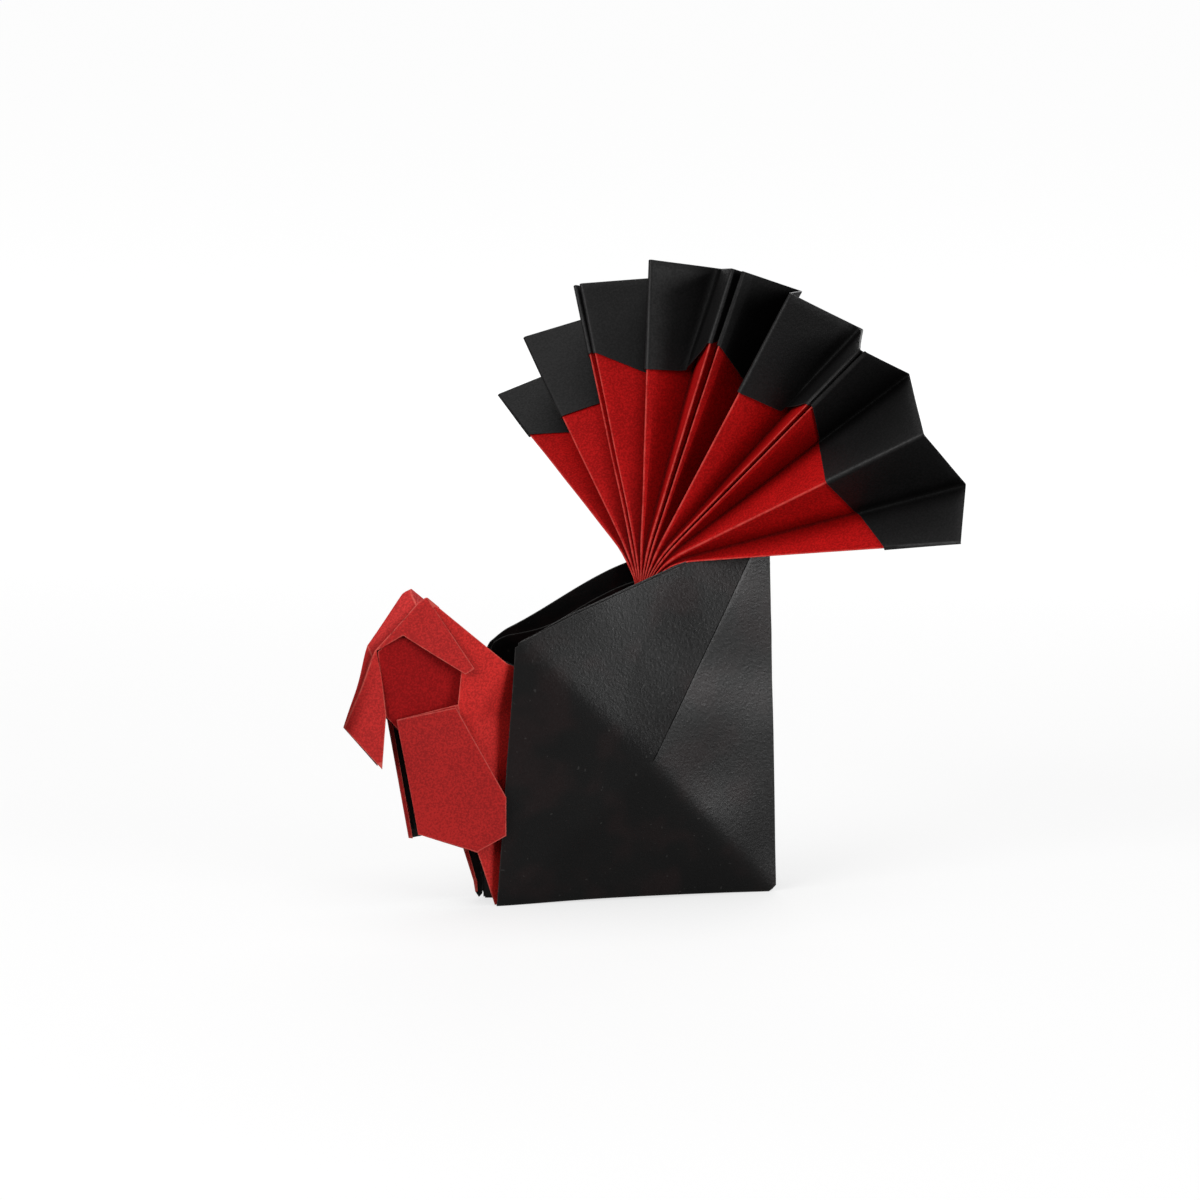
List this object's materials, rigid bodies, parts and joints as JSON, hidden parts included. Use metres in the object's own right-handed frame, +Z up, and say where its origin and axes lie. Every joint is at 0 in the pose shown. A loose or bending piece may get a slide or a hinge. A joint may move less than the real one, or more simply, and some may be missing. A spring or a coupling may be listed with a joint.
{
  "type": "origami turkey",
  "caption": "Folded paper turkey: a pleated tail fan over a hollow wedge body, with a neck, a crested head, a beak and chest flaps; stands on its side walls as a table decoration.",
  "frame": {"origin": "on the floor, at the middle of the bottom edge of the body's rear wall", "axes": "+Z up, -X towards the head, +Y towards the bird's right side; the tail fan is turned towards -Y"},
  "size_m": [0.0885, 0.0689, 0.0904],
  "materials": {
    "duo_paper": "matte"
  },
  "bodies": {
    "root": {"folded_sheet": "duo_paper"}
  },
  "joints": []
}
